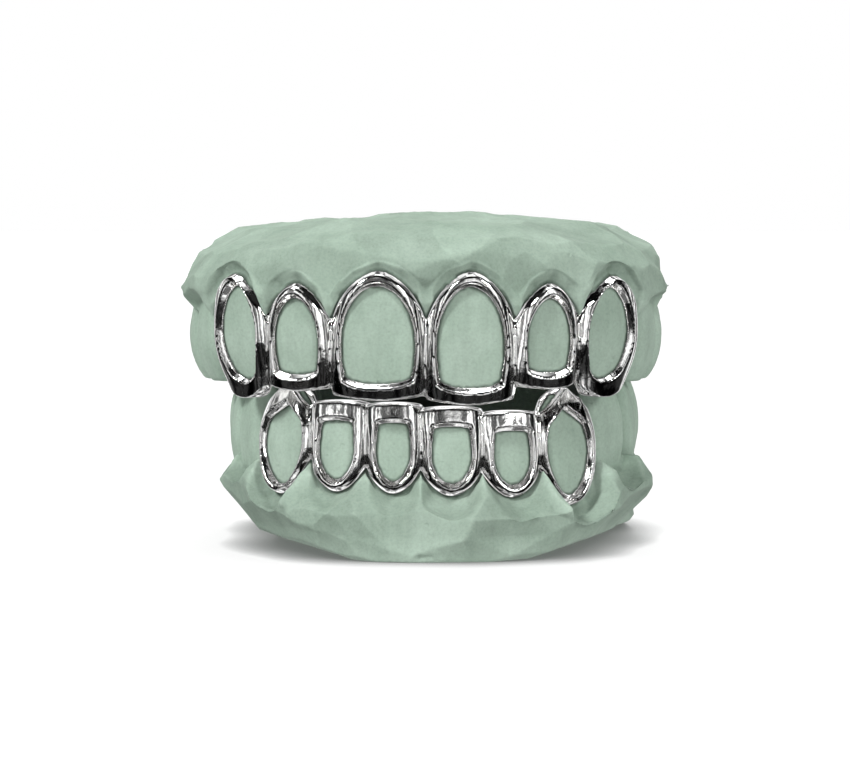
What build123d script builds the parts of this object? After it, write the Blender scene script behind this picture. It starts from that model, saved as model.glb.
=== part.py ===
# A pair of open-face tooth covers, upper and lower, on the two dental-stone
# casts that they were made on. The casts stand closed on each other on a table.
# Front is -Y, up is +Z, and the origin is on the table under the middle.
from build123d import *
from collections import namedtuple
from math import cos, radians, sin, tan
import os

# Heights of the whole, in millimetres
bite_height = 17.5  # table to the plane where the back teeth meet
bite_gap = 0.1  # left between the two casts in that plane
upper_height = 18.4  # bite plane to the highest carved edge of the upper cast
upper_gum_edge = 7.0  # bite plane to the tips of the upper gum between the teeth
lower_gum_edge = 7.9  # the same on the lower cast

# Tooth arches: plan size of the line that the teeth touch each other on
upper_arch_half_width = 23.4
upper_arch_depth = 41.5
upper_arch_front = 19.6
upper_crown_height = 12.0
upper_tooth_depth = 6.4
upper_midline = 0.1  # where the two middle teeth touch, across
lower_arch_half_width = 21.0
lower_arch_depth = 38.9
lower_arch_front = 16.9
lower_crown_height = 9.0
lower_tooth_depth = 5.8
lower_midline = -0.4
lower_shift = 1.0  # the lower jaw runs a little to the right towards the back

# Metal of the covers
cover_gap = 0.05  # between metal and stone
cover_front = 1.0  # how far the frames stand proud of the teeth
cover_back = 0.6  # plate behind the teeth
cover_side = 0.3  # how far neighbouring frames run into each other
plate_height = 0.55  # share of a frame's height that the plate behind it has
upper_frame_side = 0.5  # width of a frame beside its window
lower_frame_side = 0.55
upper_canine_side = 1.0
lower_canine_side = 0.45
upper_canine_aside = 0.65  # how far its window sits towards the midline
lower_canine_aside = 0.5
upper_frame_apex = 1.35  # width of a frame at the gum
lower_frame_apex = 1.0
upper_edge_metal = 0.7  # metal under the upper biting edges
upper_edge_rim = 0.4  # how far a window stays off the biting edge of the tooth
lower_edge_metal = 0.8
lower_edge_rim = 0.6
bevel_level = 1.5  # where a frame's outer bevel starts, out from the touching line
bevel_height = 2.0
bevel_lean = 24.0  # degrees that the outer bevel leans in
window_flare = 30.0  # degrees that a window opens outwards
window_level = 2.2  # where the frame widths are measured, out from the touching line

# Gum and stone
groove_gap = 0.3  # floor of the scooped groove beyond the frame
groove_level = 1.5  # where its wall starts to lean, out from the touching line
groove_reach = 5.6  # how far out the groove is scooped
upper_groove_slope = 31.0  # degrees that its wall leans away
lower_groove_slope = 18.0
groove_cuts = 16
stone_front = 22.9
stone_back = 22.93
upper_stone_half_width = 26.7
lower_stone_half_width = 23.3
lower_stone_shift = 1.2
vault_depth = 7.5  # palate above the upper gum edge
tongue_depth = 4.0  # tongue space below the lower gum edge
hollow_half_width = 13.5
hollow_front = 11.5
hollow_taper = 18.0
heel_thickness = 4.5  # wall that closes the bite behind the last teeth
heel_width = 33.0
foot_notch_width = 1.8
foot_notch_height = 0.7
foot_notch_depth = 2.5

Arch = namedtuple("Arch", "way half_width depth front midline shift crown_height tooth_depth groove_slope")
upper = Arch(1, upper_arch_half_width, upper_arch_depth, upper_arch_front, upper_midline, 0.0,
             upper_crown_height, upper_tooth_depth, upper_groove_slope)
lower = Arch(-1, lower_arch_half_width, lower_arch_depth, lower_arch_front, lower_midline, lower_shift,
             lower_crown_height, lower_tooth_depth, lower_groove_slope)

# One row a tooth, from the midline out. across and back place its far contact,
# as shares of the arch's half width and depth. edge is how far its biting edge
# stands off the bite plane, and height its length, as shares of the crown height.
Row = namedtuple("Row", "kind across back edge height")
upper_left = [
    Row("incisor", 0.405, 0.017, -0.050, 1.04),
    Row("incisor", 0.668, 0.080, 0.025, 0.86),
    Row("canine", 0.884, 0.208, -0.054, 1.025),
    Row("premolar", 0.988, 0.366, 0.0, 0.70),
    Row("premolar", 1.022, 0.536, 0.0, 0.66),
    Row("molar", 1.014, 0.780, 0.0, 0.64),
    Row("molar", 0.975, 1.000, 0.0, 0.60),
]
upper_right = [
    Row("incisor", 0.378, 0.015, -0.086, 1.07),
    Row("incisor", 0.640, 0.075, 0.042, 0.84),
    Row("canine", 0.890, 0.196, -0.046, 1.00),
    Row("premolar", 0.990, 0.358, 0.0, 0.70),
    Row("premolar", 1.018, 0.532, 0.0, 0.66),
    Row("molar", 1.010, 0.778, 0.0, 0.64),
    Row("molar", 0.975, 1.000, 0.0, 0.60),
]
lower_left = [
    Row("incisor", 0.262, 0.008, 0.26, 0.94),
    Row("incisor", 0.521, 0.050, 0.24, 0.945),
    Row("canine", 0.758, 0.172, 0.05, 1.20),
    Row("premolar", 0.890, 0.335, 0.0, 1.05),
    Row("premolar", 0.945, 0.512, 0.0, 1.00),
    Row("molar", 0.975, 0.784, 0.0, 0.92),
    Row("molar", 0.975, 1.000, 0.0, 0.88),
]
lower_right = [
    Row("incisor", 0.290, 0.008, 0.306, 0.92),
    Row("incisor", 0.557, 0.050, 0.36, 0.89),
    Row("canine", 0.812, 0.156, 0.106, 1.27),
    Row("premolar", 0.970, 0.314, 0.0, 1.05),
    Row("premolar", 1.025, 0.492, 0.0, 1.00),
    Row("molar", 1.040, 0.775, 0.0, 0.92),
    Row("molar", 1.030, 1.000, 0.0, 0.88),
]

# Crown sections from the biting edge to the root: station along the height,
# width as a share of the tooth's, and bulge out and in as shares of its depth.
Section = namedtuple("Section", "station width out inward")
crown_sections = {
    "incisor": [
        Section(0.00, 0.90, 0.10, 0.10),
        Section(0.30, 1.02, 0.22, 0.28),
        Section(0.70, 0.93, 0.27, 0.60),
        Section(1.00, 0.78, 0.22, 0.70),
        Section(1.16, 0.70, 0.14, 0.68),
    ],
    "canine": [
        Section(0.00, 0.46, 0.02, 0.14),
        Section(0.20, 0.92, 0.16, 0.24),
        Section(0.40, 1.02, 0.28, 0.44),
        Section(0.75, 0.92, 0.32, 0.74),
        Section(1.00, 0.78, 0.26, 0.82),
        Section(1.08, 0.72, 0.18, 0.80),
    ],
    "premolar": [
        Section(0.00, 0.46, 0.02, 0.80),
        Section(0.14, 0.80, 0.14, 1.00),
        Section(0.45, 1.03, 0.26, 1.14),
        Section(1.00, 0.86, 0.20, 1.10),
        Section(1.30, 0.76, 0.08, 1.00),
    ],
    "molar": [
        Section(0.00, 0.74, 0.04, 1.10),
        Section(0.16, 0.92, 0.16, 1.30),
        Section(0.50, 1.02, 0.26, 1.44),
        Section(1.00, 0.90, 0.20, 1.40),
        Section(1.30, 0.82, 0.08, 1.30),
    ],
}

# Frame outlines from the biting edge to the gum, half a side: share of the half
# width against share of the height. The first point is the corner of the edge.
outlines = {
    (1, "incisor"): [(0.93, 0.065), (1.00, 0.42), (0.76, 0.776)],
    (1, "canine"): [(0.87, 0.16), (1.00, 0.46), (0.77, 0.79)],
    (1, "premolar"): [(0.80, 0.15), (1.00, 0.50), (0.80, 0.82)],
    (1, "molar"): [(0.90, 0.10), (1.00, 0.50), (0.88, 0.82)],
    (-1, "incisor"): [(0.95, 0.04), (1.00, 0.42), (0.88, 0.73)],
    (-1, "canine"): [(0.86, 0.22), (1.00, 0.48), (0.78, 0.76)],
    (-1, "premolar"): [(0.80, 0.15), (1.00, 0.50), (0.80, 0.82)],
    (-1, "molar"): [(0.90, 0.10), (1.00, 0.50), (0.88, 0.82)],
}

# Knife facets: the way each faces, as degrees round from the front and up from
# level, how far out it stands as a share of the stone's size, and its height.
Facet = namedtuple("Facet", "round up reach height")
upper_facets = [
    Facet(-90, 84, 0.40, 0.90), Facet(88, 85, 0.42, 0.91), Facet(178, 86, 0.30, 0.95),
    Facet(-10, 84, 0.42, 0.95), Facet(38, 80, 0.55, 0.90),
    Facet(-84, 62, 0.84, 0.64), Facet(-52, 68, 0.82, 0.69), Facet(-26, 72, 0.86, 0.74),
    Facet(4, 74, 0.87, 0.78), Facet(30, 66, 0.87, 0.74), Facet(54, 72, 0.82, 0.74),
    Facet(82, 60, 0.86, 0.66),
    Facet(-84, 36, 0.945, 0.40), Facet(-64, 46, 0.925, 0.47), Facet(-42, 32, 0.925, 0.50),
    Facet(-20, 30, 0.93, 0.60), Facet(-4, 44, 0.925, 0.62), Facet(15, 28, 0.935, 0.60),
    Facet(38, 38, 0.925, 0.56), Facet(60, 42, 0.935, 0.52), Facet(82, 38, 0.95, 0.42),
    Facet(-96, 7, 0.965, 0.28), Facet(-76, 3, 0.965, 0.28), Facet(-55, 12, 0.955, 0.32),
    Facet(-31, 5, 0.95, 0.36), Facet(-10, 13, 0.945, 0.42), Facet(7, 3, 0.955, 0.40),
    Facet(28, 12, 0.95, 0.38), Facet(50, 4, 0.955, 0.34), Facet(70, 10, 0.965, 0.28),
    Facet(95, 6, 0.965, 0.28),
    Facet(-86, -42, 0.96, 0.16), Facet(-64, -36, 0.95, 0.16), Facet(-44, -34, 0.945, 0.18),
    Facet(-22, -30, 0.94, 0.20), Facet(0, -33, 0.935, 0.20), Facet(22, -29, 0.94, 0.20),
    Facet(44, -34, 0.945, 0.18), Facet(64, -37, 0.95, 0.16), Facet(86, -42, 0.96, 0.16),
    Facet(130, 8, 1.27, 0.4), Facet(-134, 8, 1.27, 0.4), Facet(176, 50, 0.99, 0.72),
]
lower_facets = [
    Facet(-90, 36, 0.94, 0.90), Facet(-64, 41, 0.925, 0.86), Facet(-38, 40, 0.905, 0.76),
    Facet(-12, 48, 0.90, 0.68), Facet(14, 42, 0.90, 0.68), Facet(40, 45, 0.905, 0.76),
    Facet(66, 39, 0.925, 0.86), Facet(92, 36, 0.94, 0.90),
    Facet(-96, 2, 0.965, 0.72), Facet(-72, -8, 0.955, 0.66), Facet(-48, 2, 0.955, 0.58),
    Facet(-27, -12, 0.965, 0.48), Facet(-6, 0, 0.965, 0.44), Facet(17, -11, 0.965, 0.46),
    Facet(40, -2, 0.96, 0.56), Facet(66, -8, 0.955, 0.66), Facet(94, 2, 0.965, 0.72),
    Facet(-88, -40, 0.95, 0.58), Facet(-62, -47, 0.945, 0.50), Facet(-36, -38, 0.955, 0.36),
    Facet(-14, -26, 0.965, 0.22), Facet(6, -34, 0.965, 0.16), Facet(29, -32, 0.955, 0.30),
    Facet(52, -44, 0.95, 0.44), Facet(76, -46, 0.945, 0.56),
    Facet(-70, -72, 0.75, 0.13), Facet(-40, -70, 0.88, 0.08), Facet(38, -71, 0.88, 0.08),
    Facet(72, -72, 0.75, 0.13),
    Facet(134, -6, 1.25, 0.5), Facet(-130, -6, 1.25, 0.5), Facet(184, -50, 0.99, 0.2),
]

Place = namedtuple("Place", "middle along outward width edge height kind arch")


def contact(arch, side, across, back):
    """Plan point where two teeth touch."""
    return Vector(arch.midline + arch.shift * back + side * across * arch.half_width,
                  back * arch.depth - arch.front)


def tooth_places(arch, side, rows):
    """Where each tooth of one half arch stands, from the midline out."""
    places = []
    near = contact(arch, side, 0, 0)
    for row in rows:
        far = contact(arch, side, row.across, row.back)
        along = (far - near) * side
        width = along.length
        along = along / width
        outward = Vector(along.Y, -along.X)
        edge = bite_height + arch.way * (bite_gap / 2 + row.edge * arch.crown_height)
        places.append(Place((near + far) / 2, along, outward, width, edge,
                            row.height * arch.crown_height, row.kind, arch))
        near = far
    return places


def level_plane(place, z):
    """Level plane across a tooth, with its y axis towards the tongue."""
    return Plane(origin=(place.middle.X, place.middle.Y, z), x_dir=place.along, z_dir=(0, 0, 1))


def face_plane(place, out=0.0):
    """Upright plane along a tooth's front, facing outwards, at its biting edge."""
    origin = place.middle + place.outward * out
    return Plane(origin=(origin.X, origin.Y, place.edge), x_dir=place.along, z_dir=place.outward)


def crown(place, front=0.0, back=0.0, side=0.0, edge=0.0):
    """Crown of one tooth, made larger by the amounts given."""
    way = place.arch.way
    with BuildPart() as body:
        for row in crown_sections[place.kind]:
            lift = row.station * place.height - (edge if row.station == 0 else 0)
            half = row.width * place.width / 2 + side
            labial = row.out * place.arch.tooth_depth + front
            lingual = row.inward * place.arch.tooth_depth + back
            with BuildSketch(level_plane(place, place.edge + way * lift)):
                with BuildLine():
                    Spline(
                        (half, 0), (0.76 * half, -0.75 * labial), (0, -labial),
                        (-0.76 * half, -0.75 * labial), (-half, 0),
                        (-0.72 * half, 0.75 * lingual), (0, lingual), (0.72 * half, 0.75 * lingual),
                        periodic=True,
                    )
                make_face()
        loft()
    return body.part


def outline_sketch(place, out, half, edge, apex, aside=0.0):
    """Frame outline on the tooth's front plane, from its edge to its apex height."""
    way = place.arch.way
    side = [(half * u, way * (edge + (apex - edge) * v)) for u, v in outlines[way, place.kind]]
    mirrored = [(aside - u, v) for u, v in reversed(side)]
    side = [(aside + u, v) for u, v in side]
    with BuildSketch(face_plane(place, out)) as sketch:
        with BuildLine():
            Spline(*side, (aside, way * apex), *mirrored)
            if place.kind == "canine" and way < 0:
                Polyline(side[0], (aside, way * edge), mirrored[-1])
            else:
                ThreePointArc(side[0], (aside, way * edge), mirrored[-1])
        make_face()
    return sketch.sketch


def edge_metal(place):
    return upper_edge_metal if place.arch.way > 0 else lower_edge_metal


def frame_blank(place):
    """Metal round one tooth, before its tooth and its window are cut out."""
    half = place.width / 2 + cover_side
    lean = bevel_height * tan(radians(bevel_lean))
    with BuildPart() as blank:
        extrude(outline_sketch(place, 0.0, half, -edge_metal(place), place.height), amount=bevel_level)
        loft([outline_sketch(place, bevel_level, half, -edge_metal(place), place.height),
              outline_sketch(place, bevel_level + bevel_height, half - lean, lean - edge_metal(place),
                             place.height - lean)], ruled=True)
        extrude(outline_sketch(place, 0.0, half, -edge_metal(place), place.height * plate_height),
                amount=-4 * cover_front - place.arch.tooth_depth)
        add(crown(place, cover_front, cover_back, cover_side, 2 * edge_metal(place)),
            mode=Mode.INTERSECT)
    return blank.part


def window_block(place):
    """Window of a frame, opening outwards from inside the tooth."""
    upper_one, canine = place.arch.way > 0, place.kind == "canine"
    rim, apex = (upper_edge_rim, upper_frame_apex) if upper_one else (lower_edge_rim, lower_frame_apex)
    if canine:
        side = upper_canine_side if upper_one else lower_canine_side
        aside = upper_canine_aside if upper_one else lower_canine_aside
        aside = -aside if place.middle.X > 0 else aside
    else:
        side, aside = upper_frame_side if upper_one else lower_frame_side, 0.0
    sketches = []
    for out in (0.0, 3 * window_level):
        inset = (window_level - out) * tan(radians(window_flare))
        sketches.append(outline_sketch(place, out, place.width / 2 - side - inset, rim + inset,
                                       place.height - apex - inset, aside))
    with BuildPart() as block:
        loft(sketches, ruled=True)
    return block.part


def groove_block(place):
    """Scooped groove in the gum round one tooth, in straight cuts: a floor for the
    frame to stand in and a wall that leans away from it."""
    outline = outline_sketch(place, groove_level, place.width / 2 + cover_side + groove_gap,
                             -edge_metal(place) - groove_gap, place.height + groove_gap)
    rim = outline.wire()
    floor = Face(Wire.make_polygon([rim.position_at(i / groove_cuts) for i in range(groove_cuts)]))
    with BuildPart() as block:
        extrude(floor, amount=groove_level, dir=-place.outward)
        extrude(floor, amount=groove_reach, dir=place.outward, taper=-place.arch.groove_slope)
    return block.part


def stone_reach(turn, half_width):
    """How far the stone's plan reaches towards a direction round from the front."""
    power = 1.6
    across = abs(half_width * sin(radians(turn))) ** power
    ahead = abs(stone_front * cos(radians(turn))) ** power
    return (across + ahead) ** (1 / power)


def facet_plane(facet, half_width, shift, bottom, top):
    """Plane of one knife cut, facing out of the stone."""
    turn, up = radians(facet.round), radians(facet.up)
    level = Vector(sin(turn), -cos(turn))
    foot = level * stone_reach(facet.round, half_width) * facet.reach + Vector(shift, 0)
    return Plane(origin=(foot.X, foot.Y, bottom + facet.height * (top - bottom)),
                 z_dir=(level.X * cos(up), level.Y * cos(up), sin(up)))


def stone_block(bottom, top, facets, half_width, shift):
    """Block of stone with its knife facets."""
    with BuildPart() as block:
        with Locations((shift, stone_back, (bottom + top) / 2)):
            Box(3 * half_width, 3 * stone_front, top - bottom, align=(Align.CENTER, Align.MAX, Align.CENTER))
        for facet in facets:
            split(bisect_by=facet_plane(facet, half_width, shift, bottom, top), keep=Keep.BOTTOM)
    return block.part


def hollow_block(gum, depth):
    """Hollow over the tongue or under the palate, from the gum edge into the stone."""
    with BuildPart() as block:
        with BuildSketch(Plane.XY.offset(gum)) as plan:
            with BuildLine():
                round_front = hollow_half_width - hollow_front
                back = stone_back - heel_thickness
                Polyline((hollow_half_width, round_front), (hollow_half_width, back),
                         (-hollow_half_width, back), (-hollow_half_width, round_front))
                ThreePointArc((-hollow_half_width, round_front), (0, -hollow_front),
                              (hollow_half_width, round_front))
            make_face()
        extrude(amount=depth, taper=hollow_taper)
    return block.part


def cast(places, gum, far, facets, half_width, shift, depth):
    """Cast of one jaw: stone block, heel, grooves and teeth."""
    way = places[0].arch.way
    bite = bite_height + way * bite_gap / 2
    with BuildPart() as body:
        add(stone_block(min(gum, far), max(gum, far), facets, half_width, shift))
        with BuildSketch(Plane.XY.offset(bite)):
            with Locations((0, stone_back)):
                Rectangle(heel_width, heel_thickness, align=(Align.CENTER, Align.MAX))
        extrude(amount=gum - bite)
        add(hollow_block(gum, way * depth), mode=Mode.SUBTRACT)
        for place in places:
            add(groove_block(place), mode=Mode.SUBTRACT)
        for place in places:
            add(crown(place))
    return body.part


def cover(places):
    """Cover over the front teeth of one jaw."""
    front = places[4:10]
    with BuildPart() as body:
        for place in front:
            add(frame_blank(place))
        for place in places[3:11]:
            add(crown(place, cover_gap, cover_gap, cover_gap, cover_gap), mode=Mode.SUBTRACT)
        for place in front:
            add(window_block(place), mode=Mode.SUBTRACT)
    return body.part


upper_places = tooth_places(upper, -1, upper_left)[::-1] + tooth_places(upper, 1, upper_right)
lower_places = tooth_places(lower, -1, lower_left)[::-1] + tooth_places(lower, 1, lower_right)

# Cast of the upper jaw
with BuildPart() as upper_cast:
    add(cast(upper_places, bite_height + upper_gum_edge, bite_height + upper_height, upper_facets,
             upper_stone_half_width, 0.0, vault_depth))

# Cast of the lower jaw
with BuildPart() as lower_cast:
    add(cast(lower_places, bite_height - lower_gum_edge, 0.0, lower_facets,
             lower_stone_half_width, lower_stone_shift, tongue_depth))
    with Locations((0, -stone_front, 0)):
        Box(foot_notch_width, foot_notch_depth, 2 * foot_notch_height, mode=Mode.SUBTRACT)

# Cover of the upper front teeth
with BuildPart() as upper_cover:
    add(cover(upper_places))

# Cover of the lower front teeth
with BuildPart() as lower_cover:
    add(cover(lower_places))

os.makedirs("parts", exist_ok=True)
for name, piece in (("upper_cast", upper_cast), ("lower_cast", lower_cast),
                    ("upper_cover", upper_cover), ("lower_cover", lower_cover)):
    piece.part.label = name
    export_step(piece.part, f"parts/{name}.step")
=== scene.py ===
import math
import bpy
import numpy as np
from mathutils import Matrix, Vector, kdtree, noise


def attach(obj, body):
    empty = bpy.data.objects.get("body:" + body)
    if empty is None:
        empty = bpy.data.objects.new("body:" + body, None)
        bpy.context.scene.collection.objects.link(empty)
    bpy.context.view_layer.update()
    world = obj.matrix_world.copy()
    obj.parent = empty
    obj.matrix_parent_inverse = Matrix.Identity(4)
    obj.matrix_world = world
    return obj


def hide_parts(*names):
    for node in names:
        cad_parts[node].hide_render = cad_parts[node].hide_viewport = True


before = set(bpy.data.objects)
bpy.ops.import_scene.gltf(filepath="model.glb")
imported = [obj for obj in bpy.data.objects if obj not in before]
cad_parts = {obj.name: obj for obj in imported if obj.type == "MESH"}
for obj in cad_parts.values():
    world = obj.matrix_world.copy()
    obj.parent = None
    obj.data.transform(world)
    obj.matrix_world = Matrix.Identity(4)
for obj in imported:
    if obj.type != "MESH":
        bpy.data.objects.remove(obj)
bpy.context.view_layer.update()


# Small helpers for picking, copying and finishing

weldWithin = 0.000001


def selectOnly(piece):
    bpy.ops.object.select_all(action="DESELECT")
    piece.select_set(True)
    bpy.context.view_layer.objects.active = piece


def copyOfNode(nodeName, pieceName):
    # a free copy of a CAD node, its loose triangles welded together
    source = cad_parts[nodeName]
    piece = source.copy()
    piece.data = source.data.copy()
    piece.name = pieceName
    piece.data.name = pieceName
    bpy.context.scene.collection.objects.link(piece)
    piece.parent = None
    piece.matrix_world.identity()
    piece.data.materials.clear()
    selectOnly(piece)
    bpy.ops.object.mode_set(mode="EDIT")
    bpy.ops.mesh.select_all(action="SELECT")
    bpy.ops.mesh.remove_doubles(threshold=weldWithin)
    bpy.ops.object.mode_set(mode="OBJECT")
    return piece


def applyModifier(piece, kind, **settings):
    selectOnly(piece)
    modifier = piece.modifiers.new(kind.lower(), kind)
    for name, value in settings.items():
        setattr(modifier, name, value)
    bpy.ops.object.modifier_apply(modifier=modifier.name)


def smooth(piece, rounds):
    applyModifier(piece, "SMOOTH", factor=0.5, iterations=rounds)


def evenCopy(nodeName, pieceName, form):
    # a copy with small even faces and slightly rounded edges
    piece = copyOfNode(nodeName, pieceName)
    applyModifier(piece, "REMESH", mode="VOXEL", voxel_size=form["voxel"])
    smooth(piece, form["rounding"])
    return piece


def readSurface(piece):
    # all points and their normals as two tables, read before anything moves
    count = len(piece.data.vertices)
    places, normals = np.empty(count * 3), np.empty(count * 3)
    piece.data.vertices.foreach_get("co", places)
    piece.data.vertices.foreach_get("normal", normals)
    return places.reshape(-1, 3), normals.reshape(-1, 3)


def movePoints(piece, places):
    piece.data.vertices.foreach_set("co", places.ravel())
    piece.data.update()


def triangleCount(piece):
    return sum(len(face.vertices) - 2 for face in piece.data.polygons)


def dress(piece, material, most):
    # fewer triangles where the surface is flat, smooth shading and the material
    count = triangleCount(piece)
    if count > most:
        applyModifier(piece, "DECIMATE", ratio=most / count, use_collapse_triangulate=True)
    selectOnly(piece)
    bpy.ops.object.shade_smooth()
    piece.data.materials.append(material)
    print(piece.name, triangleCount(piece), "triangles")


def keepValues(piece, name, values):
    # one number a point, kept for the material
    layer = piece.data.attributes.new(name, "FLOAT", "POINT")
    layer.data.foreach_set("value", np.clip(values, 0, 1))


def softSurface(piece, rounds):
    # where the same points lie on a smoothed copy, and their normals there
    smoothed = piece.copy()
    smoothed.data = piece.data.copy()
    bpy.context.scene.collection.objects.link(smoothed)
    smooth(smoothed, rounds)
    softPlaces, softNormals = readSurface(smoothed)
    bpy.data.objects.remove(smoothed, do_unlink=True)
    return softPlaces, softNormals


def deepness(piece, rounds, fullDepth):
    # 0.5 on the smoothed surface, more in a hollow and less on a ridge
    places, normals = readSurface(piece)
    softPlaces = softSurface(piece, rounds)[0]
    return 0.5 + 0.5 * ((softPlaces - places) * normals).sum(1) / fullDepth


def gapsTo(piece, neighbour):
    # how far each point lies from the nearest point of the other piece
    others = readSurface(neighbour)[0]
    tree = kdtree.KDTree(len(others))
    for index, place in enumerate(others):
        tree.insert(place, index)
    tree.balance()
    return np.array([tree.find(place)[2] for place in readSurface(piece)[0]])


def rising(values, start, width):
    # 0 up to start, 1 from a width further on
    return np.clip((values - start) / width, 0, 1)


def falling(values, end, width):
    # 1 up to a width before end, 0 from end on
    return np.clip((end - values) / width, 0, 1)


# Camera at the photograph's place

cameraSet = {"distance": 0.300, "height": 0.035, "frontPlane": -0.0224, "tilt": 3.14,
             "lens": 127.06, "sensor": 36, "nearest": 0.01, "furthest": 50}


def makeCamera(setup):
    bpy.ops.object.select_all(action="DESELECT")
    bpy.ops.object.camera_add(
        location=(0, setup["frontPlane"] - setup["distance"], setup["height"]),
        rotation=(math.radians(90 - setup["tilt"]), 0, 0))
    camera = bpy.context.object
    camera.data.sensor_width = setup["sensor"]
    camera.data.lens = setup["lens"]
    camera.data.clip_start = setup["nearest"]
    camera.data.clip_end = setup["furthest"]
    bpy.context.scene.camera = camera


makeCamera(cameraSet)
print("camera set")


# Materials

def newMaterial(name):
    material = bpy.data.materials.new(name)
    material.use_nodes = True
    tree = material.node_tree
    return material, tree, tree.nodes["Principled BSDF"]


def addNode(tree, kind, inputs=None, **settings):
    node = tree.nodes.new(kind)
    for name, value in settings.items():
        setattr(node, name, value)
    for name, value in (inputs or {}).items():
        if isinstance(value, bpy.types.NodeSocket):
            tree.links.new(value, node.inputs[name])
        else:
            node.inputs[name].default_value = value
    return node


def objectPlace(tree):
    return addNode(tree, "ShaderNodeTexCoord").outputs["Object"]


def kept(tree, name):
    # a number that keepValues has stored on the points
    return addNode(tree, "ShaderNodeAttribute", attribute_name=name).outputs["Fac"]


def sums(tree, operation, *values):
    return addNode(tree, "ShaderNodeMath", dict(enumerate(values)), operation=operation).outputs[0]


def noiseOn(tree, place, scale, detail=3.0, roughness=0.55, stretch=(1, 1, 1)):
    mapping = addNode(tree, "ShaderNodeMapping", {"Vector": place, "Scale": stretch})
    return addNode(tree, "ShaderNodeTexNoise", {
        "Vector": mapping.outputs["Vector"], "Scale": scale,
        "Detail": detail, "Roughness": roughness}).outputs["Fac"]


def ramp(tree, value, *stops):
    # a stop's color is one grey value or three numbers
    node = addNode(tree, "ShaderNodeValToRGB", {"Fac": value})
    elements = node.color_ramp.elements
    while len(elements) < len(stops):
        elements.new(0.5)
    for element, (position, color) in zip(elements, stops):
        element.position = position
        element.color = (*color, 1) if isinstance(color, tuple) else (color, color, color, 1)
    return node.outputs["Color"]


def mixColor(tree, amount, first, second, blend="MIX"):
    # amount, first and second: a socket, a number or three numbers
    node = addNode(tree, "ShaderNodeMix", data_type="RGBA", blend_type=blend)
    for index, value in ((0, amount), (6, first), (7, second)):
        if isinstance(value, bpy.types.NodeSocket):
            tree.links.new(value, node.inputs[index])
        else:
            node.inputs[index].default_value = (*value, 1) if isinstance(value, tuple) else value
    return node.outputs[2]


def times(tree, first, second, amount=1.0):
    return mixColor(tree, amount, first, second, "MULTIPLY")


def bumps(tree, layers):
    # bumps on top of one another, each a height, its strength and its depth in metres
    normal = None
    for height, strength, distance in layers:
        inputs = {"Height": height, "Strength": strength, "Distance": distance}
        if normal is not None:
            inputs["Normal"] = normal
        normal = addNode(tree, "ShaderNodeBump", inputs).outputs["Normal"]
    return normal


stoneLook = {
    "pale": (0.430, 0.545, 0.455), "mean": (0.385, 0.495, 0.408), "deep": (0.330, 0.435, 0.352),
    # painted shade for the hollows, a painted highlight for the edges, and a painted contact shadow beside
    # the metal
    "creviceShade": (0.20, 0.275, 0.215), "edgeHighlight": (0.48, 0.58, 0.50), "shadow": (0.06, 0.085, 0.065),
    # painted shade, nearly black, for the inside of the closed arches
    "innerShade": (0.01, 0.014, 0.011), "innerShadeShare": 0.94,
    "untrimmed": 1.03, "trimmed": (0.85, 0.855, 0.85), "cutSpread": 0.09,
    "roughness": 0.74, "specular": 0.25,
    # noise turns per metre: clouding, speckles, long strokes, brush and scraper marks, grain, pits
    "clouds": 150, "speckles": 3400, "strokes": 520,
    "brushed": 1500, "scraped": 700, "grain": 5200, "pits": 430,
    "strokeStretch": (1.0, 1.0, 0.22), "brushStretch": (1.0, 0.6, 0.16), "scrapeStretch": (0.35, 0.5, 1.5),
    # strength and depth in metres of each bump
    "scrapeBump": (0.30, 0.00012), "brushBump": (0.22, 0.00010),
    "grainBump": (0.25, 0.00005), "pitBump": (0.5, 0.00014),
}


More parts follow.
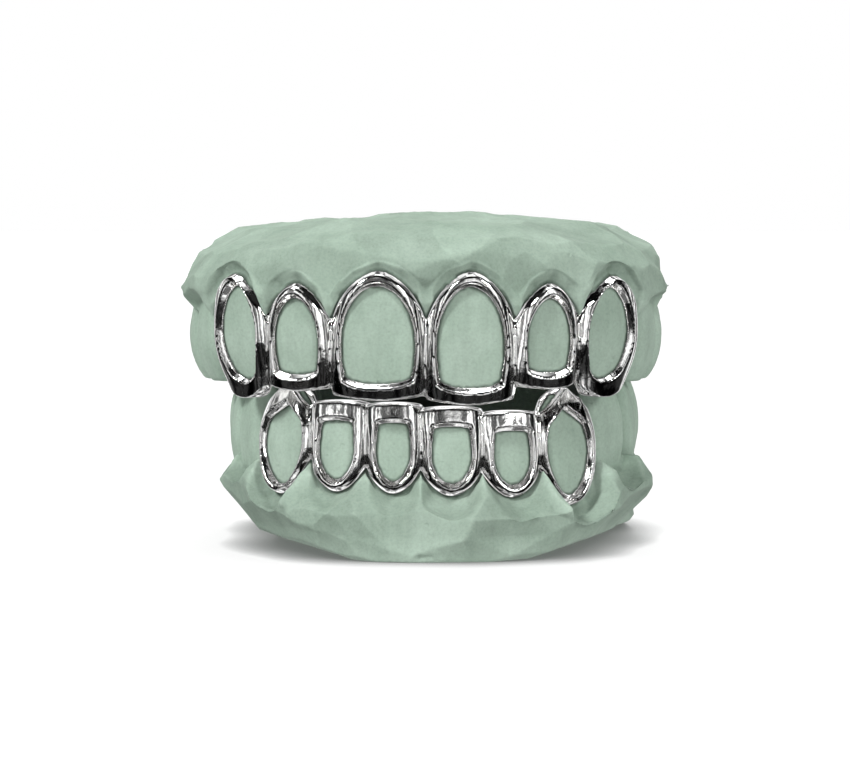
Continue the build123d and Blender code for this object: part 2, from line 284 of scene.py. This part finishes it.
def greenStone(look):
    # poured dental stone: soft clouding, trimming scratches, grain and small bubble pits
    material, tree, shader = newMaterial("greenStone")
    place = objectPlace(tree)
    clouds = noiseOn(tree, place, look["clouds"], 5, 0.6)
    tint = ramp(tree, clouds, (0.30, look["deep"]), (0.52, look["mean"]), (0.72, look["pale"]))
    speckles = noiseOn(tree, place, look["speckles"], 2, 0.7)
    tint = times(tree, tint, ramp(tree, speckles, (0.30, 0.90), (0.50, 1.0), (0.72, 1.06)))
    # painted shade in the hollows and a painted highlight on the edges, by how deep each point lies
    depth = kept(tree, "deepness")
    creviceShadeShare = ramp(tree, depth, (0.56, 0.0), (0.95, 0.85))
    edgeHighlightShare = ramp(tree, depth, (0.18, 0.55), (0.44, 0.0))
    tint = mixColor(tree, creviceShadeShare, tint, look["creviceShade"])
    tint = mixColor(tree, edgeHighlightShare, tint, look["edgeHighlight"])
    strokes = noiseOn(tree, place, look["strokes"], 4, 0.65, look["strokeStretch"])
    tint = times(tree, tint, ramp(tree, strokes, (0.30, 0.90), (0.50, 1.0), (0.70, 1.07)))
    # knife-trimmed stone is darker than the teeth; each cut gets a random painted shade, lighter or
    # darker, standing in for the light on its facet; a painted highlight on the ridges and painted shade
    # in the hollows
    spread = look["cutSpread"]
    trimmed = ramp(tree, kept(tree, "trimmed"), (0.0, look["untrimmed"]), (1.0, look["trimmed"]))
    paintedCutShade = ramp(tree, kept(tree, "paintedCutShade"), (0.0, 1 - spread), (1.0, 1 + spread))
    # a painted highlight on the broad ridges and painted shade in the broad hollows
    paintedRidgeShade = ramp(tree, kept(tree, "paintedRidgeShade"), (0.20, 1.14), (0.50, 1.0), (0.85, 0.80))
    for shade in (trimmed, paintedCutShade, paintedRidgeShade):
        tint = times(tree, tint, shade)
    # painted shade: nearly black inside the closed arches, where little light gets in, and a painted
    # contact shadow in the seam beside the metal
    paintedInsideShade = sums(tree, "MULTIPLY", kept(tree, "paintedInsideShade"), look["innerShadeShare"])
    tint = mixColor(tree, paintedInsideShade, tint, look["innerShade"])
    # a painted contact shadow, darkest within about 0.1 mm of the metal and gone past about 0.3 mm
    seamShadow = ramp(tree, kept(tree, "nearness"), (0.30, 0.0), (0.75, 0.9))
    tint = mixColor(tree, seamShadow, tint, look["shadow"])
    tree.links.new(tint, shader.inputs["Base Color"])
    shader.inputs["Roughness"].default_value = look["roughness"]
    shader.inputs["Specular IOR Level"].default_value = look["specular"]
    brushed = noiseOn(tree, place, look["brushed"], 3, 0.6, look["brushStretch"])
    scraped = noiseOn(tree, place, look["scraped"], 3, 0.6, look["scrapeStretch"])
    grain = noiseOn(tree, place, look["grain"], 2)
    pits = addNode(tree, "ShaderNodeTexVoronoi", {"Vector": place, "Scale": look["pits"]})
    pitDepth = ramp(tree, pits.outputs["Distance"], (0.04, 0.0), (0.11, 1.0))
    normal = bumps(tree, [(scraped, *look["scrapeBump"]), (brushed, *look["brushBump"]),
                          (grain, *look["grainBump"]), (pitDepth, *look["pitBump"])])
    tree.links.new(normal, shader.inputs["Normal"])
    return material


metalLook = {
    "bright": (0.90, 0.90, 0.89), "tarnish": (0.030, 0.030, 0.032), "tarnishFrom": 0.15,
    "roughness": 0.06, "smoothest": 0.6, "roughest": 3.2,
    # noise turns per metre
    "blotches": 1300, "rub": 2600, "waves": 900, "rubStretch": (1.0, 1.0, 0.16),
    "waveBump": (0.20, 0.00014), "rubBump": (0.14, 0.00003),
}


def polishedSilver(look):
    # hand-polished cast silver: polishing streaks, slight waviness, dark tarnish left in the corners
    material, tree, shader = newMaterial("polishedSilver")
    place = objectPlace(tree)
    shader.inputs["Metallic"].default_value = 1.0
    depth = kept(tree, "deepness")
    blotches = noiseOn(tree, place, look["blotches"], 4, 0.65)
    deep = sums(tree, "MULTIPLY_ADD", blotches, 0.30, sums(tree, "SUBTRACT", depth, look["tarnishFrom"]))
    inCorner = ramp(tree, deep, (0.66, 0.0), (0.86, 1.0))
    tint = mixColor(tree, inCorner, look["bright"], look["tarnish"])
    tree.links.new(tint, shader.inputs["Base Color"])
    rub = noiseOn(tree, place, look["rub"], 4, 0.65, look["rubStretch"])
    rough = ramp(tree, rub, (0.35, look["roughness"] * look["smoothest"]),
                 (0.70, look["roughness"] * look["roughest"]))
    tree.links.new(rough, shader.inputs["Roughness"])
    waves = noiseOn(tree, place, look["waves"], 3, 0.6)
    normal = bumps(tree, [(waves, *look["waveBump"]), (rub, *look["rubBump"])])
    tree.links.new(normal, shader.inputs["Normal"])
    return material


stoneMaterial = greenStone(stoneLook)
metalMaterial = polishedSilver(metalLook)
print("materials made")


# Metal covers: the CAD solids with rounded, polished edges

coverForm = {"voxel": 0.00013, "rounding": 6, "triangles": 190000,
             "hollowRounds": 16, "hollowDepth": 0.00016}


def makeCover(nodeName, pieceName, form):
    piece = evenCopy(nodeName, pieceName, form)
    keepValues(piece, "deepness", deepness(piece, form["hollowRounds"], form["hollowDepth"]))
    dress(piece, metalMaterial, form["triangles"])
    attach(piece, "root")
    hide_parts(nodeName)
    return piece


upperCover = makeCover("upper_cover", "upperFrames", coverForm)
lowerCover = makeCover("lower_cover", "lowerFrames", coverForm)


# Stone casts: the CAD solids with softened knife edges and a hand-trimmed surface

# lengths in metres; a fade is where it starts or ends and how wide it is
castForm = {
    "voxel": 0.00021, "rounding": 2, "triangles": 185000,
    # a slightly uneven, grainy skin: depth and noise turns per metre
    "unevenness": 0.00009, "wave": 230.0, "grainDepth": 0.00003, "grain": 1400.0,
    # knife cuts: depth, slope, hollowness, deepest, distance apart, random places tried
    "cutDepth": 0.00045, "cutLean": 0.17, "cutRound": 20.0, "cutMost": 0.0011,
    "strokeGap": 0.0062, "strokeReach": 0.0004, "tries": 4000, "seed": 4, "softRounds": 45,
    # the edge of the trimmed stone above the frames, in steps across
    "gumStep": 0.0005, "gumDrop": (4, 9), "gumSmooth": 5, "gumFade": 0.0012,
    "backGumUpper": 0.0247, "backGumLower": -0.0094,
    # which stone is trimmed: outward and flat faces, the heels' flat back, not the foot
    "outward": -0.002, "flat": 0.5, "footFade": 0.0025,
    "heelWidth": 0.0150, "heelBack": 0.0215, "heelMiddle": 0.0175, "heelFade": 0.0020,
    # the hollows that run out softly, by the distance from the metal
    "softStart": (0.0005, 0.0008), "softEnd": (0.0046, 0.0014),
    # the faces inside the arches
    "innerLean": 0.35, "innerSharp": 3, "innerReach": 0.0190, "innerHeights": (0.0045, 0.0310),
    "innerMiddle": 0.013, "innerFlat": 0.3,
    # what the material reads
    "hollowRounds": 12, "hollowDepth": 0.00020, "ridgeRounds": 70, "ridgeDepth": 0.00045,
    "seam": 0.00042,
}

# middles of the knife strokes on the front, across and up, in millimetres
upperStrokes = [(-23.7, 30.3), (-22.0, 32.0), (-17.3, 33.3), (-17.2, 31.0), (-19.9, 30.2), (-9.0, 34.0),
                (-11.0, 32.0), (-13.7, 30.4), (-6.0, 32.5), (-10.7, 29.7), (-6.3, 30.7), (0.3, 34.2),
                (-1.7, 30.3), (1.7, 31.8), (7.0, 33.5), (5.0, 30.8), (8.7, 30.5), (13.3, 31.7),
                (13.0, 33.8), (18.8, 32.8), (18.5, 30.4), (22.8, 31.0), (24.2, 28.2), (-24.9, 27.8),
                (11.0, 29.2)]
lowerStrokes = [(-20.3, 9.2), (-19.0, 6.5), (-15.4, 3.8), (-16.8, 7.5), (-11.7, 4.7), (-12.3, 2.2),
                (-9.0, 2.8), (-6.3, 4.8), (-5.0, 1.8), (-2.0, 4.2), (0.3, 2.2), (2.7, 4.2), (6.0, 3.0),
                (8.7, 1.8), (11.0, 3.8), (14.3, 2.8), (16.6, 5.5), (19.6, 6.5), (22.6, 9.2), (19.0, 4.2)]


def gumLine(cover, way, places, form):
    # where the trimmed stone starts: as high as the frames reach at each place across, and
    # straight along the back of the arch
    metal = readSurface(cover)[0]
    columns = np.round(metal[:, 0] / form["gumStep"]).astype(int)
    reach = {}
    for column, height in zip(columns, metal[:, 2] * way):
        reach[column] = max(reach.get(column, -1.0), height)
    backGum = form["backGumUpper"] if way > 0 else form["backGumLower"]
    covered = sorted(reach)
    near, far = form["gumDrop"]
    columns = [covered[0] - far, covered[0] - near] + covered + [covered[-1] + near, covered[-1] + far]
    heights = [backGum, backGum] + [reach[column] for column in covered] + [backGum, backGum]
    count = form["gumSmooth"]
    heights = np.convolve(np.pad(heights, count // 2, mode="edge"), np.ones(count) / count, mode="valid")
    line = np.interp(places[:, 0], np.array(columns) * form["gumStep"], heights)
    return np.where(places[:, 1] > 0, backGum, line)


def trimmedStone(piece, cover, way, form):
    # 1 on the stone that is cut with the knife, 0 on the teeth, inside and at the foot
    places, normals = readSurface(piece)
    onStone = rising(places[:, 2] * way, gumLine(cover, way, places, form), form["gumFade"])
    outward = (normals[:, :2] * places[:, :2]).sum(1) > form["outward"]
    onStone *= outward | (normals[:, 2] * way > form["flat"])
    onHeel = falling(abs(places[:, 0]), form["heelWidth"], form["heelFade"])
    onHeel *= places[:, 1] > form["heelBack"]
    onHeel *= rising(abs(places[:, 2] - form["heelMiddle"]), 0, form["heelFade"])
    return np.maximum(onStone, onHeel) * rising(places[:, 2], 0, form["footFade"])


def strokeMiddles(places, onStone, strokes, form, chance):
    # the listed strokes, then random ones wherever there is room on the trimmed stone
    middles = []
    for x, z in strokes:
        aside, above = places[:, 0] - x / 1000, places[:, 2] - z / 1000
        near = np.nonzero((abs(aside) < form["strokeReach"]) & (abs(above) < form["strokeReach"]))[0]
        if len(near):
            middles.append(places[near[np.argmin(places[near, 1])]])
    for index in chance.permutation(len(places))[:form["tries"]]:
        if onStone[index] < 1:
            continue
        gap = np.sqrt(((np.array(middles) - places[index]) ** 2).sum(1)).min()
        if gap > form["strokeGap"]:
            middles.append(places[index])
    return middles


def carve(piece, cover, way, strokes, form):
    # shallow knife cuts, each leaning its own way and with its own random painted shade, with crisp ridges
    # between
    places = readSurface(piece)[0]
    onStone = trimmedStone(piece, cover, way, form)
    chance = np.random.default_rng(form["seed"])
    middles = strokeMiddles(places, onStone, strokes, form, chance)
    depth, facetShade = np.zeros(len(places)), np.full(len(places), 0.5)
    for middle in middles:
        away = places - middle
        lean = chance.normal(size=3)
        lean *= form["cutLean"] / np.sqrt((lean ** 2).sum())
        cut = form["cutDepth"] + (away * lean).sum(1) - form["cutRound"] * (away ** 2).sum(1)
        # each cut's random painted shade, lighter or darker, stands in for how light falls on its facet
        facetShade = np.where(cut > depth, chance.random(), facetShade)
        depth = np.maximum(depth, cut)
    depth = np.minimum(depth, form["cutMost"]) * onStone
    softNormals = softSurface(piece, form["softRounds"])[1]
    movePoints(piece, places - softNormals * depth[:, None])
    keepValues(piece, "trimmed", onStone)
    keepValues(piece, "paintedCutShade", 0.5 + (facetShade - 0.5) * onStone)
    print(piece.name, len(middles), "knife strokes")


def soften(piece, gaps, form):
    # the hollows scooped round the frames run out softly, but stay crisp against the metal
    places = readSurface(piece)[0]
    share = rising(gaps, *form["softStart"]) * falling(gaps, *form["softEnd"])
    softPlaces = softSurface(piece, form["softRounds"])[0]
    movePoints(piece, places + (softPlaces - places) * share[:, None])


def roughen(piece, form):
    places, normals = readSurface(piece)
    broad = np.array([noise.fractal(Vector(place) * form["wave"], 1.0, 2.0, 3) for place in places])
    fine = np.array([noise.noise(Vector(place) * form["grain"]) for place in places])
    depth = np.minimum(broad, 0) * form["unevenness"] + np.minimum(fine, 0) * form["grainDepth"]
    movePoints(piece, places + normals * depth[:, None])


def insideShadeMask(piece, form):
    # 1 on the faces towards the middle of the arches, which the material paints nearly black as painted
    # shade
    places, normals = readSurface(piece)
    radius = np.sqrt((places[:, :2] ** 2).sum(1))
    inward = -(normals[:, :2] * places[:, :2]).sum(1) / np.maximum(radius, 0.0001)
    facing = np.clip((inward + form["innerLean"]) * form["innerSharp"], 0, 1)
    facing[(radius < form["innerMiddle"]) & (abs(normals[:, 2]) > form["innerFlat"])] = 1
    low, high = form["innerHeights"]
    facing[(radius > form["innerReach"]) | (places[:, 2] < low) | (places[:, 2] > high)] = 0
    return facing


def makeCast(nodeName, cover, pieceName, way, strokes, form):
    piece = evenCopy(nodeName, pieceName, form)
    gaps = gapsTo(piece, cover)
    soften(piece, gaps, form)
    carve(piece, cover, way, strokes, form)
    roughen(piece, form)
    # read for the painted shade in hollows and the painted highlight on edges, and for the metal's tarnish
    keepValues(piece, "deepness", deepness(piece, form["hollowRounds"], form["hollowDepth"]))
    # read for the painted highlight on ridges and the painted shade in hollows
    keepValues(piece, "paintedRidgeShade", deepness(piece, form["ridgeRounds"], form["ridgeDepth"]))
    # read for the painted contact shadow beside the metal
    keepValues(piece, "nearness", 1 - gaps / form["seam"])
    # read for the painted shade inside the arches
    keepValues(piece, "paintedInsideShade", insideShadeMask(piece, form))
    dress(piece, stoneMaterial, form["triangles"])
    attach(piece, "root")
    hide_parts(nodeName)
    # left out of mirrored light, so that the metal doesn't mirror the stone
    piece.visible_glossy = False
    return piece


upperCast = makeCast("upper_cast", upperCover, "upperStone", 1, upperStrokes, castForm)
lowerCast = makeCast("lower_cast", lowerCover, "lowerStone", -1, lowerStrokes, castForm)


# Table, light and surroundings

studio = {
    "floorSize": 12.0, "floorColor": (0.36, 0.36, 0.36), "floorRoughness": 0.5, "floorSpecular": 0.2,
    # the floor glows evenly white; its glow is less where something stands close above it, a painted
    # contact shadow
    "floorGlow": 0.80, "contact": 0.0045, "contactPower": 1.6,
    # even light from above and below, what the camera sees behind, and what the metal mirrors
    "fillAbove": 0.36, "fillBelow": 0.62, "worldSeen": 1.0, "mirrored": 1.55,
    "cloth": (0.8, 0.8, 0.8), "barShare": 0.92, "barScale": (4.6, 4.6, 0.8),
    "sunHeight": 1,
    "suns": [
        # turned from straight down, softness in degrees, strength, and whether the floor gets it
        {"turn": (-14, 0, 0), "soft": 24, "power": 1.15, "onFloor": True},
        {"turn": (52, 0, -48), "soft": 10, "power": 1.95, "onFloor": False},
        {"turn": (66, 0, 40), "soft": 12, "power": 1.05, "onFloor": False},
    ],
}


def makeFloor(setup):
    bpy.ops.object.select_all(action="DESELECT")
    bpy.ops.mesh.primitive_plane_add(size=setup["floorSize"], location=(0, 0, 0))
    floor = bpy.context.object
    floor.name = "floor"
    # neither mirrored in the metal nor lighting the stone: the world's light from below does that
    floor.visible_glossy = False
    floor.visible_diffuse = False
    material, tree, shader = newMaterial("floorWhite")
    shader.inputs["Base Color"].default_value = (*setup["floorColor"], 1)
    shader.inputs["Roughness"].default_value = setup["floorRoughness"]
    shader.inputs["Specular IOR Level"].default_value = setup["floorSpecular"]
    shader.inputs["Emission Color"].default_value = (1, 1, 1, 1)
    # painted contact shadow: the glow fades where something stands close above the floor
    contact = addNode(tree, "ShaderNodeAmbientOcclusion", {"Distance": setup["contact"]}, samples=8)
    clear = sums(tree, "POWER", contact.outputs["AO"], setup["contactPower"])
    glow = sums(tree, "MULTIPLY", clear, setup["floorGlow"])
    tree.links.new(glow, shader.inputs["Emission Strength"])
    floor.data.materials.append(material)


def makeSuns(setup, pieces):
    # the suns at the sides light the pieces alone, so that the floor has no hard shadows
    lit = bpy.data.collections.new("litByTheSides")
    for piece in pieces:
        lit.objects.link(piece)
    for sun in setup["suns"]:
        bpy.ops.object.select_all(action="DESELECT")
        bpy.ops.object.light_add(type="SUN", location=(0, 0, setup["sunHeight"]),
                                 rotation=[math.radians(angle) for angle in sun["turn"]])
        light = bpy.context.object
        light.data.angle = math.radians(sun["soft"])
        light.data.energy = sun["power"]
        if not sun["onFloor"]:
            light.light_linking.receiver_collection = lit


def mirroredRoom(tree, direction, height, setup):
    # white at eye level, black above and below that, and white again straight up and down;
    # grey straight in front, black at the two sides, white cloth behind, dark bars over it all
    side = addNode(tree, "ShaderNodeSeparateXYZ", {"Vector": direction})
    ahead = sums(tree, "MULTIPLY", side.outputs["Y"], -1.0)
    aside = sums(tree, "ABSOLUTE", side.outputs["X"])
    around = sums(tree, "DIVIDE", sums(tree, "ARCTAN2", aside, ahead), math.pi)
    boxes = ramp(tree, around, (0.0, 0.20), (0.04, 0.45), (0.08, 0.95), (0.34, 1.0), (0.38, 0.03),
                 (0.51, 0.02), (0.56, 0.90), (1.0, 0.8))
    inHeight = ramp(tree, height, (0.0, 0.9), (0.08, 0.9), (0.12, 0.03), (0.40, 0.02), (0.44, 1.0),
                    (0.63, 1.0), (0.67, 0.012), (0.94, 0.015), (0.98, 1.0))
    back = sums(tree, "MULTIPLY_ADD", side.outputs["Y"], 0.5, 0.5)
    behind = ramp(tree, back, (0.72, 0.0), (0.84, 1.0))
    room = mixColor(tree, behind, times(tree, boxes, inHeight), setup["cloth"])
    stretched = addNode(tree, "ShaderNodeMapping", {"Vector": direction, "Scale": setup["barScale"]})
    bars = addNode(tree, "ShaderNodeTexNoise", {"Vector": stretched.outputs["Vector"],
                                                "Scale": 1.0, "Detail": 2.0})
    between = ramp(tree, bars.outputs["Fac"], (0.485, 0.03), (0.52, 1.0))
    return times(tree, room, between, setup["barShare"])


def makeWorld(setup):
    # the pieces' even light, the metal's mirrored room and the camera's backdrop are kept apart
    world = bpy.data.worlds.new("studioWorld")
    bpy.context.scene.world = world
    world.use_nodes = True
    tree = world.node_tree
    tree.nodes.clear()
    rays = addNode(tree, "ShaderNodeLightPath").outputs
    direction = addNode(tree, "ShaderNodeTexCoord").outputs["Generated"]
    upward = addNode(tree, "ShaderNodeSeparateXYZ", {"Vector": direction}).outputs["Z"]
    height = sums(tree, "MULTIPLY_ADD", upward, 0.5, 0.5)
    room = mirroredRoom(tree, direction, height, setup)
    evenLight = ramp(tree, height, (0.42, setup["fillBelow"]), (0.58, setup["fillAbove"]))
    fill, mirrored, seen = [
        addNode(tree, "ShaderNodeBackground", {"Color": color, "Strength": strength}).outputs[0]
        for color, strength in ((evenLight, 1.0), (room, setup["mirrored"]),
                                ((1, 1, 1, 1), setup["worldSeen"]))]
    lighting = addNode(tree, "ShaderNodeMixShader", {0: rays["Is Glossy Ray"], 1: fill, 2: mirrored})
    surface = addNode(tree, "ShaderNodeMixShader", {0: rays["Is Camera Ray"], 1: lighting.outputs[0],
                                                    2: seen})
    addNode(tree, "ShaderNodeOutputWorld", {"Surface": surface.outputs[0]})


makeFloor(studio)
makeSuns(studio, (upperCover, lowerCover, upperCast, lowerCast))
makeWorld(studio)
bpy.context.scene.view_settings.view_transform = "Standard"
bpy.context.scene.view_settings.look = "None"
print("studio lit")
